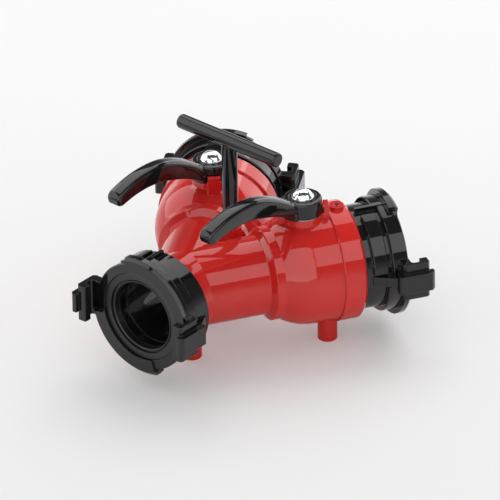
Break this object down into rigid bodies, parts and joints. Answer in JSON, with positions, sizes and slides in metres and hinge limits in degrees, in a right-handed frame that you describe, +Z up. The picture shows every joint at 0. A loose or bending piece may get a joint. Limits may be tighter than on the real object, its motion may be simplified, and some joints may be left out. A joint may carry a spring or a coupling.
{
  "type": "gated wye (portable hose divider)",
  "caption": "Gated hose wye: a red cast body splits one inlet into two outlets, with quick claw couplings, quarter-turn ball valves, a T carrying handle and peg feet.",
  "frame": {"origin": "the point where the three pipe axes meet", "axes": "the inlet points along -Y, the outlets lie 30 degrees either side of +Y, +Z is up"},
  "size_m": [0.3756, 0.3503, 0.2383],
  "materials": {
    "red_paint": "glossy red powder coat on cast aluminium",
    "black_coat": "glossy near-black hard coat on cast aluminium",
    "seal_rubber": "smooth moulded black rubber",
    "seat_plastic": "white bearing plastic",
    "ball_chrome": "polished plating",
    "nut_chrome": "mirror plating",
    "steel": "machined stainless steel",
    "bare_alloy": "machined aluminium"
  },
  "bodies": {
    "base": {"wye_body": "red_paint", "inlet_coupling": "black_coat", "left_coupling": "black_coat", "right_coupling": "black_coat", "inlet_seal": "seal_rubber", "left_seal": "seal_rubber", "right_seal": "seal_rubber", "inlet_gasket": "seal_rubber", "left_gasket": "seal_rubber", "right_gasket": "seal_rubber", "left_end_plug": "bare_alloy", "right_end_plug": "bare_alloy", "left_plug_ring": "seal_rubber", "right_plug_ring": "seal_rubber", "left_inner_seat": "seat_plastic", "right_inner_seat": "seat_plastic", "left_outer_seat": "seat_plastic", "right_outer_seat": "seat_plastic", "left_thrust_washer": "steel", "right_thrust_washer": "steel", "left_lock_screw": "steel", "right_lock_screw": "steel", "handle_post": "black_coat", "handle_bar": "black_coat", "front_foot": "red_paint", "left_foot": "red_paint", "right_foot": "red_paint"},
    "left_valve": {"left_lever": "black_coat", "left_washer": "steel", "left_dome_nut": "nut_chrome", "left_stem": "steel", "left_stem_ring": "seal_rubber", "left_ball": "ball_chrome"},
    "right_valve": {"right_lever": "black_coat", "right_washer": "steel", "right_dome_nut": "nut_chrome", "right_stem": "steel", "right_stem_ring": "seal_rubber", "right_ball": "ball_chrome"}
  },
  "joints": [
    {"name": "left_valve_turn", "type": "hinge", "parent": "base", "child": "left_valve", "pos_m": [-0.063, 0.10912, 0], "axis": [0, 0, 1], "range_deg": [-90, 0]},
    {"name": "right_valve_turn", "type": "hinge", "parent": "base", "child": "right_valve", "pos_m": [0.063, 0.10912, 0], "axis": [0, 0, 1], "range_deg": [0, 90]}
  ]
}
